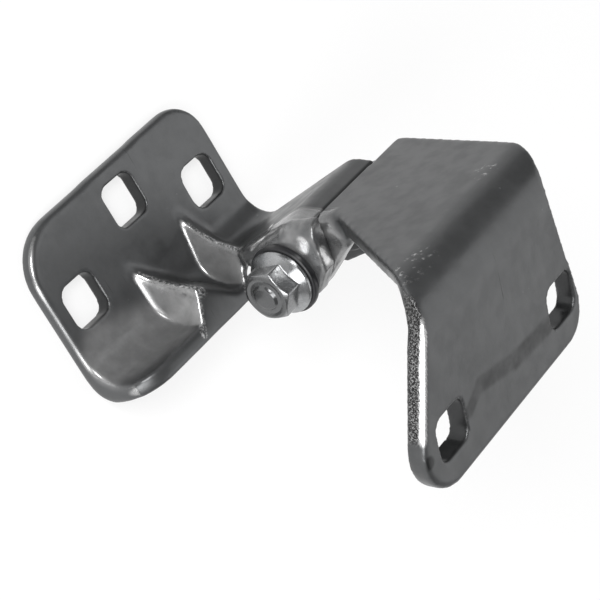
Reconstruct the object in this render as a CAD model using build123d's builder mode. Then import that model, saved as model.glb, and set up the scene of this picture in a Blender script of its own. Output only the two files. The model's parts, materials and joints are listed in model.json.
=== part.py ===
"""Two-leaf stamped steel door hinge for a truck cab, with its pivot bolt and bushes.

The hinge lies with the pillar plate flat on the ground plane. X points from the plate
towards the pivot, Y runs along the pivot and Z points up out of the plate. The origin
is the middle of the plate's outer pair of holes, on the face that bears on the pillar.
All sizes are in millimetres.
"""
from build123d import *
import math
import os

os.makedirs("parts", exist_ok=True)

# Sheets
pillar_gauge = 5.5
door_gauge = 6.5
plate_width = 91.2
plate_near_edge = -25.6
plate_far_edge = -27.6
plate_near_corner = 17.5
plate_far_corner = 13.0

# Square bolt holes, the same in both leaves
hole_side = 14.5
hole_corner = 3.6
hole_pitch = 65.0
hole_skew = 1.6
third_hole = -14.0
third_shift = 0.8

# Low wall and neck of the pillar leaf
wall_face = 26.8
wall_height = 18.4
wall_bend = 11.5
wall_outer_bend = 9.0
wall_corner = 12.5
rib_ridge = 1.6
rib_bow = 3.3
rib_steps = 6
neck_foot = 21.9
neck_lean = 14.0
neck_bend = 8.5
wall_end = 13.0
neck_kink = 51.0
crown_lean = 22.0
crown_bend = 12.0
crown_top = 57.6
neck_round = 5.0

# Pivot
pin_x = 25.0
pin_rise = 43.5
pin_size = 10.0
bush_size = 12.0
bush_collar = 23.2
bush_collar_depth = 2.3
running_gap = 0.05
ear_gap = 0.3
bolt_flange = 21.4
bolt_flange_edge = 1.6
bolt_hex = 15.0
bolt_turn = -7
bolt_head = 9.4
bolt_boss = 4.6
spacer_size = 14.5
washer_size = 22.0
washer_gauge = 2.0
nut_hex = 15.0
nut_turn = 8
nut_flange = 21.5
nut_height = 9.0
nut_collar = 3.0
bolt_past_nut = 3.0

# Ears of the pillar leaf
near_ear = 3.4
ear_radius = 11.4
far_ear_reach = 16.4
far_ear_foot = -23.0

# Door leaf
panel_offset = 15.0
panel_lean = 8.0
panel_foot = 13.2
panel_round = 5.0
panel_flare_at = 24.1
panel_near_at_fold = -21.2
panel_far_at_fold = 48.7
panel_far_at_foot = 60.2
flange_height = 75.1
flange_drop = 20.0
flange_reach = 32.5
flange_bend = 13.4
flange_holes_at = 16.0
flange_shift = 1.0
flange_near_at_fold = -35.0
flange_near_at_edge = -52.9
flange_far_at_fold = 37.7
flange_far_at_edge = 45.5
flange_near_corner = 14.5
flange_far_corner = 9.5
door_ear_radius = 7.5
door_ear_reach = 2.7

# Values that follow from the ones above
pin_z = pillar_gauge + pin_rise
half = plate_width / 2
lean = math.radians(panel_lean)
drop = math.radians(flange_drop)
up_x, up_z = math.sin(lean), math.cos(lean)
out_x, out_z = -math.cos(lean), math.sin(lean)
along_x, along_z = math.cos(drop), -math.sin(drop)
face_x, face_z = math.sin(drop), math.cos(drop)
fold = math.pi / 2 + drop - lean
fold_run = flange_bend * math.tan(fold / 2)
crest = (flange_height - panel_offset * (out_x * face_x + out_z * face_z)) / (up_x * face_x + up_z * face_z)
crest_x = pin_x + panel_offset * out_x + crest * up_x
crest_z = pin_z + panel_offset * out_z + crest * up_z
crest_along = (crest_x - pin_x) * along_x + (crest_z - pin_z) * along_z
near_door_ear = near_ear + pillar_gauge + ear_gap
far_pillar_ear = half - pillar_gauge
far_door_ear = far_pillar_ear - ear_gap - door_gauge


def across(y):
    """Upright plane square to the pivot at distance y along it, facing the bolt's head."""
    return Plane.XZ.offset(-y)


def from_pin(x, z):
    """Point in an upright plane, measured from the pivot."""
    return (pin_x + x, pin_z + z)


def blend(a, b, slope_a, slope_b, k):
    """Smooth curve from a to b as k runs from 0 to 1, with its slopes at both ends."""
    return (a * (2 * k**3 - 3 * k**2 + 1) + slope_a * (k**3 - 2 * k**2 + k)
            + b * (3 * k**2 - 2 * k**3) + slope_b * (k**3 - k**2))


def rib(tip, foot, shoulder, ridge, far_shoulder, far_foot):
    """Solid brace pressed into the bend; its ridge curves up from the tip to the wall's top."""
    crest = [
        (
            tip[0] + (ridge[0] - tip[0]) * k,
            tip[1] + (ridge[1] - tip[1]) * k,
            tip[2] + (ridge[2] - tip[2]) * k**rib_bow,
        )
        for k in (i / rib_steps for i in range(rib_steps + 1))
    ]
    near = [(x, y - rib_ridge / 2, z) for x, y, z in crest]
    far = [(x, y + rib_ridge / 2, z) for x, y, z in crest]
    rings = [
        (near[0], foot, far_foot, far[0]),
        (near[-1], shoulder, far_shoulder, far[-1]),
        (foot, shoulder, far_shoulder),
        (foot, far_shoulder, far_foot),
        (foot, shoulder, near[-1]),
        (far_foot, far_shoulder, far[-1]),
    ]
    for i in range(rib_steps):
        rings.append((near[i], near[i + 1], far[i + 1], far[i]))
        rings.append((foot, near[i], near[i + 1]))
        rings.append((far_foot, far[i], far[i + 1]))
    return Solid(Shell([Face(Wire.make_polygon(ring, close=True)) for ring in rings]))


# Pillar leaf: flat plate, low wall at its near side, neck with two ears at its far side
neck_slope = math.tan(math.radians(neck_lean))
crown_slope = math.tan(math.radians(crown_lean))
kink_x = neck_foot - neck_slope * neck_kink
crown_x = kink_x + crown_slope * (crown_top - neck_kink)


def on_neck_face(edge):
    """True for an edge that lies on the outer face of the neck or its crown."""
    middle = edge.position_at(0.5)
    rise = middle.Z - pillar_gauge
    face_at = neck_foot - neck_slope * rise
    return middle.Z > pin_z - ear_radius and middle.X < face_at + 6.5 and middle.X < pin_x - 8


rib_foot = pillar_gauge - 1.0
rib_top = pillar_gauge + wall_height
rib_end = wall_face + 2.5

with BuildPart() as pillar_leaf:
    # Plate and neck: bent up, back over the plate, and forward again at the crown
    with BuildSketch(across(half)):
        with BuildLine():
            FilletPolyline(
                (plate_far_edge, pillar_gauge),
                (neck_foot, pillar_gauge),
                (kink_x, pillar_gauge + neck_kink),
                (crown_x, pillar_gauge + crown_top),
                radius=(neck_bend, crown_bend),
            )
            offset(amount=pillar_gauge, side=Side.RIGHT)
        make_face()
    extrude(amount=half - near_ear)
    # The lower part of the neck starts further along than its near ear
    with BuildSketch(Plane.YZ.offset(-5)):
        Polygon(
            (near_ear - 8, -1),
            (wall_end, -1),
            (wall_end, rib_top),
            (near_ear, pin_z - ear_radius - 1),
            (near_ear - 8, pin_z - ear_radius - 1),
            align=None,
        )
    extrude(amount=40, mode=Mode.SUBTRACT)
    # Near ear, with a sloping top that stands beside the door leaf's panel
    with BuildSketch(across(near_ear + pillar_gauge)):
        with BuildLine():
            Polyline(
                from_pin(kink_x + 0.4 - pin_x, neck_kink - pin_rise),
                from_pin(-15.2, 12.0),
                from_pin(-14.4, 19.3),
                from_pin(1.4, 15.8),
                from_pin(8.1, 8.2),
                from_pin(0, -2),
                from_pin(-10.5, -9.0),
                close=True,
            )
        make_face()
        with Locations(from_pin(-1.0, 0)):
            Circle(ear_radius)
    extrude(amount=pillar_gauge)
    # Far ear
    with BuildSketch(across(half)):
        with BuildLine():
            Polyline(
                from_pin(crown_x - pin_x + 3, crown_top - pin_rise - 2),
                from_pin(1.0, 14.6),
                from_pin(8.0, 12.4),
                from_pin(12.0, 7.6),
                from_pin(far_ear_reach - 1.5, -2.0),
                from_pin(far_ear_reach, -13.0),
                from_pin(far_ear_reach - 4, far_ear_foot + 4),
                from_pin(far_ear_reach - 10, far_ear_foot),
                from_pin(-6.0, far_ear_foot - 1),
                from_pin(-12.0, 0),
                close=True,
            )
        make_face()
    extrude(amount=pillar_gauge)
    # Rounded corner where the near ear is bent from the neck
    corner = [
        e for e in pillar_leaf.edges().filter_by_position(Axis.Y, near_ear - 0.01, near_ear + 0.01)
        if on_neck_face(e)
    ]
    fillet(corner, neck_round)
    # Plate and low wall
    with BuildSketch(across(wall_end)):
        with BuildLine():
            inner = FilletPolyline(
                (plate_far_edge, pillar_gauge),
                (wall_face, pillar_gauge),
                (wall_face, rib_top),
                radius=wall_bend,
            )
            outer = FilletPolyline(
                (plate_far_edge, 0),
                (wall_face + pillar_gauge, 0),
                (wall_face + pillar_gauge, rib_top),
                radius=wall_outer_bend,
            )
            Line(inner @ 0, outer @ 0)
            Line(inner @ 1, outer @ 1)
        make_face()
    extrude(amount=half + wall_end)
    # Ribs that brace the wall and the neck
    add(rib(
        (-7.1, -15.3, rib_foot),
        (rib_end, -12.5, rib_foot),
        (rib_end, -15.4, rib_top),
        (16.8, -8.1, rib_top),
        (rib_end, 8.0, rib_top),
        (rib_end - 3.8, 14.4, rib_foot),
    ))
    add(rib(
        (-11.4, 18.0, rib_foot),
        (rib_end, 11.5, rib_foot),
        (rib_end, 8.4, rib_top),
        (16.7, 13.9, rib_top),
        (neck_foot - 1, 18.0, rib_top),
        (neck_foot - 1.5, 29.5, rib_foot),
    ))
    # Bores for the bushes
    with BuildSketch(across(half + 1)):
        with Locations(from_pin(0, 0)):
            Circle(bush_size / 2)
    extrude(amount=half + 2 - near_ear, mode=Mode.SUBTRACT)
    # Square holes
    with BuildSketch(Plane.XY.offset(-1)):
        with Locations(
            (third_hole, third_shift),
            (-hole_skew, hole_pitch / 2),
            (hole_skew, -hole_pitch / 2),
        ):
            RectangleRounded(hole_side, hole_side, hole_corner)
    extrude(amount=pillar_gauge + 2, mode=Mode.SUBTRACT)
    # Outer edge of the plate, slightly aslant, with rounded corners
    with BuildSketch(Plane.XY.offset(-1)):
        with BuildLine():
            FilletPolyline(
                (0, -half),
                (plate_near_edge, -half),
                (plate_far_edge, half),
                (0, half),
                radius=(plate_near_corner, plate_far_corner),
            )
            Polyline(
                (0, half),
                (0, plate_width),
                (-plate_width, plate_width),
                (-plate_width, -plate_width),
                (0, -plate_width),
                (0, -half),
            )
        make_face()
    extrude(amount=pillar_gauge + 2, mode=Mode.SUBTRACT)
    # Rounded near end of the wall
    with BuildSketch(Plane.YZ.offset(wall_face - wall_bend - 2)):
        with Locations((-half + wall_corner / 2, rib_top - wall_corner / 2)):
            Rectangle(wall_corner, wall_corner)
        with Locations((-half + wall_corner, rib_top - wall_corner)):
            Circle(wall_corner, mode=Mode.SUBTRACT)
    extrude(amount=40, mode=Mode.SUBTRACT)
pillar_leaf.part.label = "pillar_leaf"
export_step(pillar_leaf.part, "parts/pillar_leaf.step")

# Door leaf: panel that rises from the pivot, a fold and a mounting flange
foot_x = pin_x + panel_offset * out_x
foot_z = pin_z + panel_offset * out_z
panel_plane = Plane(origin=(foot_x, 0, foot_z), x_dir=(0, 1, 0), z_dir=(-out_x, 0, -out_z))
flange_plane = Plane(
    origin=(pin_x + flange_height * face_x, 0, pin_z + flange_height * face_z),
    x_dir=(0, 1, 0),
    z_dir=(-face_x, 0, -face_z),
)
panel_end = crest - fold_run
flange_start = crest_along + fold_run
fold_arc = flange_bend * fold
fold_x = foot_x + panel_end * up_x - flange_bend * out_x
fold_z = foot_z + panel_end * up_z - flange_bend * out_z
flange_near_slope = (flange_near_at_edge - flange_near_at_fold) / (flange_reach - flange_start)
flange_far_slope = (flange_far_at_edge - flange_far_at_fold) / (flange_reach - flange_start)
panel_near_slope = (panel_near_at_fold - near_door_ear) / (panel_end - panel_flare_at)
panel_far_slope = (panel_far_at_fold - panel_far_at_foot) / (panel_end - panel_foot)


def fold_section(k):
    """Cross-section of the fold at fraction k of its turn from the panel to the flange."""
    turn = k * fold
    ray_x = out_x * math.cos(turn) + up_x * math.sin(turn)
    ray_z = out_z * math.cos(turn) + up_z * math.sin(turn)
    near = blend(panel_near_at_fold, flange_near_at_fold, panel_near_slope * fold_arc,
                 flange_near_slope * fold_arc, k)
    far = blend(panel_far_at_fold, flange_far_at_fold, panel_far_slope * fold_arc,
                flange_far_slope * fold_arc, k)
    inner = flange_bend - door_gauge
    ring = [
        (fold_x + inner * ray_x, near, fold_z + inner * ray_z),
        (fold_x + flange_bend * ray_x, near, fold_z + flange_bend * ray_z),
        (fold_x + flange_bend * ray_x, far, fold_z + flange_bend * ray_z),
        (fold_x + inner * ray_x, far, fold_z + inner * ray_z),
    ]
    return Face(Wire.make_polygon(ring, close=True))


with BuildPart() as door_leaf:
    with BuildSketch(panel_plane):
        with BuildLine():
            Polyline(
                (near_door_ear, panel_foot),
                (near_door_ear, panel_flare_at),
                (panel_near_at_fold, panel_end),
                (panel_far_at_fold, panel_end),
                (panel_far_at_foot, panel_foot),
                close=True,
            )
        make_face()
    extrude(amount=door_gauge)
    add(Solid.make_loft([fold_section(k / 6).outer_wire() for k in range(7)]))
    with BuildSketch(flange_plane):
        with BuildLine():
            Polyline(
                (flange_near_at_fold, flange_start),
                (flange_near_at_edge, flange_reach),
                (flange_far_at_edge, flange_reach),
                (flange_far_at_fold, flange_start),
                close=True,
            )
        make_face()
    extrude(amount=door_gauge)
    # Rounded corner where the near ear is bent from the panel
    corner = door_leaf.edges().filter_by_position(Axis.Y, near_door_ear - 0.01, near_door_ear + 0.01)
    fillet(corner.sort_by(Axis.X)[0], panel_round)
    # Two ears that stand inside the pillar leaf's ears
    for y in (near_door_ear + door_gauge, far_door_ear + door_gauge):
        with BuildSketch(across(y)):
            with Locations(from_pin(0, 0), from_pin(door_ear_reach, 0)):
                Circle(door_ear_radius)
            with BuildLine():
                Polyline(
                    from_pin(-6.9, -2.5),
                    from_pin(-7.0, 14.6),
                    from_pin(-8.0, 15.4),
                    from_pin(-6.6, 27.0),
                    from_pin(-4.6, 27.5),
                    from_pin(9.2, 4.7),
                    from_pin(0, -5),
                    close=True,
                )
            make_face()
        extrude(amount=door_gauge)
    # Bolt bores
    with BuildSketch(across(half)):
        with Locations(from_pin(0, 0)):
            Circle(pin_size / 2 + running_gap)
    extrude(amount=half - near_ear, mode=Mode.SUBTRACT)
    # Rounded corners of the flange
    corners = door_leaf.edges().filter_by(Axis(origin=(0, 0, 0), direction=(face_x, 0, face_z)))
    corners = corners.sort_by(Axis(origin=(0, 0, 0), direction=(along_x, 0, along_z)))[-2:].sort_by(Axis.Y)
    fillet(corners[0], flange_near_corner)
    fillet(corners[1], flange_far_corner)
    # Square holes
    with BuildSketch(flange_plane.offset(-1)):
        with Locations(
            (flange_shift - hole_pitch / 2, flange_holes_at),
            (flange_shift + hole_pitch / 2, flange_holes_at),
        ):
            RectangleRounded(hole_side, hole_side, hole_corner)
    extrude(amount=door_gauge + 2, mode=Mode.SUBTRACT)
door_leaf.part.label = "door_leaf"
export_step(door_leaf.part, "parts/door_leaf.step")

# Flanged bushes pressed into the pillar leaf's ears
with BuildPart() as bush_near:
    with BuildSketch(across(near_ear)):
        with Locations(from_pin(0, 0)):
            Circle(bush_collar / 2)
    extrude(amount=bush_collar_depth)
    with BuildSketch(across(near_ear + pillar_gauge + ear_gap / 2)):
        with Locations(from_pin(0, 0)):
            Circle(bush_size / 2)
    extrude(amount=pillar_gauge + ear_gap / 2)
    with BuildSketch(across(near_ear + pillar_gauge + 1)):
        with Locations(from_pin(0, 0)):
            Circle(pin_size / 2 + running_gap)
    extrude(amount=pillar_gauge + bush_collar_depth + 2, mode=Mode.SUBTRACT)
    rims = bush_near.edges().filter_by(GeomType.CIRCLE).sort_by(SortBy.RADIUS)[-2:]
    chamfer(rims, 0.6)
bush_near.part.label = "bush_near"
export_step(bush_near.part, "parts/bush_near.step")

with BuildPart() as bush_far:
    with BuildSketch(across(half + bush_collar_depth)):
        with Locations(from_pin(0, 0)):
            Circle(bush_collar / 2)
    extrude(amount=bush_collar_depth)
    with BuildSketch(across(half)):
        with Locations(from_pin(0, 0)):
            Circle(bush_size / 2)
    extrude(amount=pillar_gauge + ear_gap / 2)
    with BuildSketch(across(half + bush_collar_depth + 1)):
        with Locations(from_pin(0, 0)):
            Circle(pin_size / 2 + running_gap)
    extrude(amount=pillar_gauge + bush_collar_depth + 2, mode=Mode.SUBTRACT)
    rims = bush_far.edges().filter_by(GeomType.CIRCLE).sort_by(SortBy.RADIUS)[-2:]
    chamfer(rims, 0.6)
bush_far.part.label = "bush_far"
export_step(bush_far.part, "parts/bush_far.step")

# Pivot bolt with a flanged hexagon head and a domed boss
head_seat = near_ear - bush_collar_depth - running_gap
washer_seat = half + bush_collar_depth + running_gap
nut_seat = washer_seat + washer_gauge
bolt_end = nut_seat + nut_height + nut_collar + bolt_past_nut
with BuildPart() as pivot_bolt:
    with BuildSketch(across(bolt_end)):
        with Locations(from_pin(0, 0)):
            Circle(pin_size / 2)
    extrude(amount=bolt_end - head_seat + 1)
    chamfer(pivot_bolt.edges().group_by(Axis.Y)[-1], 1.0)
    # Flange: a short rim, then a cone up to the hexagon
    with BuildSketch(across(head_seat)):
        with Locations(from_pin(0, 0)):
            Circle(bolt_flange / 2)
    extrude(amount=bolt_flange_edge)
    with BuildSketch(across(head_seat - bolt_flange_edge)):
        with Locations(from_pin(0, 0)):
            Circle(bolt_flange / 2 - 0.4)
    with BuildSketch(across(head_seat - bolt_flange_edge - 2.0)):
        with Locations(from_pin(0, 0)):
            Circle(bolt_hex / 2)
    loft()
    with BuildSketch(across(head_seat)):
        with Locations(from_pin(0, 0)):
            RegularPolygon(bolt_hex / 2, 6, major_radius=False, rotation=bolt_turn)
    extrude(amount=bolt_head - 1.2)
    with BuildSketch(across(head_seat - bolt_head + 1.2)):
        with Locations(from_pin(0, 0)):
            Circle(bolt_hex / 2 - 0.3)
    extrude(amount=1.2, taper=35)
    with BuildSketch(across(head_seat - bolt_head)):
        with Locations(from_pin(0, 0)):
            Circle(bolt_boss)
    extrude(amount=0.9, taper=30)
pivot_bolt.part.label = "pivot_bolt"
export_step(pivot_bolt.part, "parts/pivot_bolt.step")

# Spacer between the door leaf's ears
with BuildPart() as spacer:
    with BuildSketch(across(far_door_ear)):
        with Locations(from_pin(0, 0)):
            Circle(spacer_size / 2)
            Circle(pin_size / 2 + running_gap, mode=Mode.SUBTRACT)
    extrude(amount=far_door_ear - near_door_ear - door_gauge)
spacer.part.label = "spacer"
export_step(spacer.part, "parts/spacer.step")

# Washer and flanged lock nut at the far end
with BuildPart() as washer:
    with BuildSketch(across(nut_seat)):
        with Locations(from_pin(0, 0)):
            Circle(washer_size / 2)
            Circle(pin_size / 2 + running_gap, mode=Mode.SUBTRACT)
    extrude(amount=washer_gauge)
    rims = washer.edges().filter_by(GeomType.CIRCLE).sort_by(SortBy.RADIUS)[-2:]
    chamfer(rims, 0.3)
washer.part.label = "washer"
export_step(washer.part, "parts/washer.step")

with BuildPart() as lock_nut:
    with BuildSketch(across(nut_seat + bolt_flange_edge)):
        with Locations(from_pin(0, 0)):
            Circle(nut_flange / 2)
    extrude(amount=bolt_flange_edge)
    with BuildSketch(across(nut_seat + bolt_flange_edge)):
        with Locations(from_pin(0, 0)):
            Circle(nut_flange / 2 - 0.4)
    with BuildSketch(across(nut_seat + bolt_flange_edge + 2.0)):
        with Locations(from_pin(0, 0)):
            Circle(nut_hex / 2)
    loft()
    with BuildSketch(across(nut_seat + nut_height)):
        with Locations(from_pin(0, 0)):
            RegularPolygon(nut_hex / 2, 6, major_radius=False, rotation=nut_turn)
    extrude(amount=nut_height)
    with BuildSketch(across(nut_seat + nut_height + nut_collar)):
        with Locations(from_pin(0, 0)):
            Circle(nut_hex / 2 - 0.9)
    extrude(amount=nut_collar)
    chamfer(lock_nut.edges().group_by(Axis.Y)[-1], 0.9)
    with BuildSketch(across(bolt_end + 1)):
        with Locations(from_pin(0, 0)):
            Circle(pin_size / 2 + running_gap)
    extrude(amount=bolt_end + 2 - nut_seat, mode=Mode.SUBTRACT)
lock_nut.part.label = "lock_nut"
export_step(lock_nut.part, "parts/lock_nut.step")

pieces = (pillar_leaf, door_leaf, pivot_bolt, bush_near, bush_far, spacer, washer, lock_nut)
for piece in pieces:
    box = piece.part.bounding_box()
    print(piece.part.label, len(piece.part.solids()), round(piece.part.volume, 1), box.min, box.max)
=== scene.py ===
"""Looks of a stamped steel door hinge: two coated leaves on a zinc pivot bolt with its bushes and nut.

Both leaves are finished from their own solids: the cut edges are rounded, the pressed ribs and
bends are softened, and each point carries how worn, torn, rubbed or marked it is and where light and shade
are painted.
The turned pieces are surfaces of two parameters, the angle about the pivot and the way along
their profile. The scene is in metres, in the hinge's own frame.
"""
import json
import math

import bmesh
import bpy
import numpy as np
from mathutils import Matrix, Vector


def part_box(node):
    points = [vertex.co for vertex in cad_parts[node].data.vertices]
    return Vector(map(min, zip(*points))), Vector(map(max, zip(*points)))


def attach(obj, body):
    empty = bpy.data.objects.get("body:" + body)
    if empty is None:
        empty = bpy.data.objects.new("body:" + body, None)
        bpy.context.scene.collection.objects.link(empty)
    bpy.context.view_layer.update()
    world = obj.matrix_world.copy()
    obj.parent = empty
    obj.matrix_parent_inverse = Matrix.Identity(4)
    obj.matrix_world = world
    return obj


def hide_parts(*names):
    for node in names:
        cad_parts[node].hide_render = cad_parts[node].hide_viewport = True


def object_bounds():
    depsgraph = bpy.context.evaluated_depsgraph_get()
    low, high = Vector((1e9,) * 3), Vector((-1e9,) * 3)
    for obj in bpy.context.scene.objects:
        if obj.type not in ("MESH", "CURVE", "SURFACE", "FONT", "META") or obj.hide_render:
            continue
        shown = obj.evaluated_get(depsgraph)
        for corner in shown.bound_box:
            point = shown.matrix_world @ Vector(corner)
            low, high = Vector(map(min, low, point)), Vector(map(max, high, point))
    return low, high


bl_info = {
    "name": "Door Hinge Finish",
    "version": (1, 0, 0),
    "blender": (4, 5, 0),
    "location": "3D Viewport > Sidebar > Hinge",
    "description": "Finishes the leaves, bolt and bushes of a stamped steel door hinge and lights them",
    "category": "Object",
}

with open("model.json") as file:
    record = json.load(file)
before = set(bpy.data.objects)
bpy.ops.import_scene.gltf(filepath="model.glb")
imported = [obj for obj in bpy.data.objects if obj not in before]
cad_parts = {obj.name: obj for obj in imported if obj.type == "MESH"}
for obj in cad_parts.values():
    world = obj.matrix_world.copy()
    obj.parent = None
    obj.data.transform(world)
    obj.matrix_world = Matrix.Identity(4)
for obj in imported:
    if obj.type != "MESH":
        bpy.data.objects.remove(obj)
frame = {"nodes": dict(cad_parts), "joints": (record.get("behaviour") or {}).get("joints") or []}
START_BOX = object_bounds()
MM = 0.001

# The pivot, from the frame's only joint
PIVOT = Vector(frame["joints"][0]["pos_m"])

# The sheets' gauges, the lean of panel and flange in degrees, and the flange's height over the pivot
PILLAR_GAUGE = 5.5 * MM
DOOR_GAUGE = 6.5 * MM
PANEL_LEAN = 8.0
FLANGE_DROP = 20.0
FLANGE_HEIGHT = 75.1 * MM

# Refining a leaf: the gap that is merged, and the fewest vertices that count as a result
MERGE_GAP = 0.002 * MM
LEAST_VERTICES = 1000

# Evening out slanting edges: passes, the heights that count as an edge, and its widening
EDGE_PASSES = 14
EDGE_HEIGHTS = (0.012 * MM, 0.035 * MM)
EDGE_WIDENING = 2

# Light wear on edges: the heights where it starts and is full, the size and range of its patches, its level
WORN_HEIGHTS = (0.02 * MM, 0.06 * MM)
PATCH_SIZE = 9 * MM
PATCH_RANGE = (-0.1, 0.5)
EDGE_WEAR = 0.25

# The random field's direction and scale, and its step between seeds
HASH_TURN = (127.1, 311.7, 74.7)
HASH_SCALE = 43758.5453
SEED_STEP = 17.31

# Lines along the surface, here and below, are given as start, end and reach in millimetres.
# First the pressed ribs, each softened from its tip to the wall's top
RIB_LINES = (
    ((5.0, -13.0, 6.0), (23.0, -9.0, 22.0), 13.0),
    ((2.0, 17.0, 6.0), (23.0, 12.0, 22.0), 13.0),
)
RIB_PASSES = 9
# Each rib's crest runs level from its tip and then curves up to the ridge: tip, ridge, shoulder and reach
RIB_CRESTS = (
    ((-7.1, -15.3, 4.5), (16.8, -8.1, 23.9), (29.3, -15.4, 23.9), 4.2),
    ((-11.4, 18.0, 4.5), (16.7, 13.9, 23.9), (29.3, 8.4, 23.9), 2.6),
)
RIB_BOW = 3.3
# The part of a crest with a painted highlight: its steps as shares of the way to the ridge, and each step's
# share of the reach
CREST_STEPS = (0.58, 0.685, 0.79, 0.895, 1.0)
CREST_REACHES = (0.4, 0.7, 1.0, 1.1, 0.35)
# Painted highlights at the ribs' ends at the wall
RIB_END_HIGHLIGHTS = (
    ((29.3, -15.4, 22.5), (29.3, -12.5, 6.5), 1.3),
    ((29.3, 8.4, 22.5), (29.3, 11.0, 9.0), 1.0),
)
# Painted light on the ribs' near faces: the way they face, how squarely, and the box about each in
# millimetres with its level
FACET_NORMAL = (-0.45, -0.88, -0.14)
FACET_FACING = (0.72, 0.92)
FACET_BOXES = (((2, -19, 6), (30, -3, 24), 1.0), ((0, 3, 6), (30, 19, 24), 0.75))
# Painted highlights on the rims: the ways they face, how squarely, where along X they are, and the least
# level
RIM_HIGHLIGHT_SIDES = ((-0.43, -0.60, 0.66), (0.0, -0.75, 0.66))
RIM_FACING = (0.90, 0.97)
RIM_OUTER = (-12 * MM, -4 * MM)
RIM_INNER = (9 * MM, 17 * MM)
RIM_LEAST = 0.25
# Painted highlights on the neck above the near ear
NECK_HIGHLIGHTS = (
    ((14.2, 5.9, 39.2), (12.5, 7.1, 44.4), 1.3),
    ((12.7, 12.8, 42.3), (13.9, 19.0, 37.6), 0.9),
)
# Painted highlights on the rubbed ear, and their level
EAR_HIGHLIGHTS = (
    ((15.6, 3.5, 62.4), (17.2, 3.4, 61.2), 2.6),
    ((20.5, 5.3, 66.2), (23.5, 5.8, 65.5), 2.2),
)
EAR_HIGHLIGHT_LEVEL = 0.55
# Painted light on the near part of the wall's bend: its line, the way it faces and its level
LIT_BEND = (((20.0, -36.0, 8.0), (25.0, -18.0, 10.0), 15.0),)
BEND_NORMAL = (-0.7, 0, 0.7)
BEND_FACING = (0.0, 0.5)
BEND_LEVEL = 0.60
# Where the near ears are rubbed bright: along the pivot, and how far from it
POLISH_NEAR = (-2 * MM, 1 * MM)
POLISH_FAR = (15.0 * MM, 17.0 * MM)
POLISH_REACH = (22.0 * MM, 25.0 * MM)
# Painted shade on the neck: the heights where it starts and is full, and its level
NECK_START = (30 * MM, 38 * MM)
NECK_SHADE = 0.55

# The holes: their places in the plate, and along and across the flange, the reach of their walls, and how the
# walls get painted shade in the plate and in the flange
PLATE_HOLES = ((1.6 * MM, -32.5 * MM), (-1.6 * MM, 32.5 * MM), (-14 * MM, 0.8 * MM))
FLANGE_HOLES = ((16.0 * MM, -31.5 * MM), (16.0 * MM, 33.5 * MM))
HOLE_REACH = 11 * MM
HOLE_FADE = 1 * MM
WALL_FACING = (0.35, 0.8)
PLATE_WALL_SHADE = 0.95
FLANGE_WALL_SHADE = 0.7

# The plate's rolled rims: their depth, the end of its sides, the rim's top, the widening and the passes
RIM_DEPTH = 1 * MM
PLATE_SIDE = 12 * MM
SIDE_TILT = 0.5
RIM_TOP = 26 * MM
ROLL_REACH = 5
ROLL_PASSES = 30

# The crown under the door panel's foot: where its edges stay sharp, and how its end is drawn up
CROWN_START = (52 * MM, 56 * MM)
CROWN_SPAN = (59.5 * MM, 62.5 * MM)
CROWN_NEAR = 10.5 * MM
CROWN_FADE = 1.5 * MM
CROWN_FAR = 46.0 * MM
CROWN_DEPTH = 19 * MM
CROWN_LEAN = 15.0
CROWN_LIFT = 0.8 * MM

# The panel's foot: how high its edges stay sharp, the place along the pivot where that ends, and
# its lower far corner as height over the pivot, far end, slant of the far side and rounding
FOOT_TOP = (14.5 * MM, 16.5 * MM)
FOOT_FAR = 42 * MM
FOOT_CORNER = (13.2 * MM, 60.2 * MM, 0.23, 4.5 * MM)

# The torn part of the flange's near side: where it starts, leaves the bend and ends along the flange,
# its line as place across, place along and slope, and its half width on the flange and more in the bend
TORN_START = (-27 * MM, -24 * MM)
TORN_BEND = (-22 * MM, -17 * MM)
TORN_END = (9.5 * MM, 12.5 * MM)
TORN_LINE = (-44.0 * MM, 5.0 * MM, -0.34)
TORN_FACING = (0.20, 0.45)
TORN_WIDTH = 3.5 * MM
TORN_BEND_WIDTH = 6.0 * MM
# Depths as shares of the gauge: where the cut band starts and ends and the tear starts and ends
BAND_START = (0.01, 0.06)
BAND_END = (0.24, 0.32)
TEAR_START = (0.24, 0.34)
TEAR_END = (0.80, 0.95)
TEAR_IN_BEND = 0.6
# The ragged line between cut and tear: the size of its teeth, their seed and their depth
TEETH_SIZE = 0.9 * MM
TEETH_SEED = 9
TEETH_DEPTH = 0.05

# Darker places on the flange: how squarely such a face looks out, a pit, and a soft darker stripe with its
# clouds as share, size and seed
DARKENING_FACING = (0.6, 0.9)
FLANGE_PITS = (((66.6, -44.7, 113.7), (67.2, -44.4, 113.5), 2.4),)
FLANGE_STRIPE = (
    ((68.1, 24.0, 113.2), (66.7, 4.1, 113.7), 4.0),
    ((66.7, 4.1, 113.7), (62.2, -14.9, 115.4), 3.6),
    ((62.2, -14.9, 115.4), (65.6, -21.9, 114.1), 3.0),
)
STRIPE_LEVEL = 0.68
STRIPE_CLOUDS = ((0.30, 5 * MM, 13), (0.15, 1.3 * MM, 14))
# Places on the panel and fold with fine bright specks, the specks' size, seed and range, and their level
SPECKLES = (
    ((20.0, -22.0, 119.0), (20.0, -12.0, 119.0), 5.0),
    ((19.3, 30.0, 114.0), (19.3, 32.0, 114.0), 4.5),
)
SPECK_SIZE = 0.9 * MM
SPECK_SEED = 21
SPECK_RANGE = (0.25, 0.75)
SPECK_LEVEL = 0.7

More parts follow.
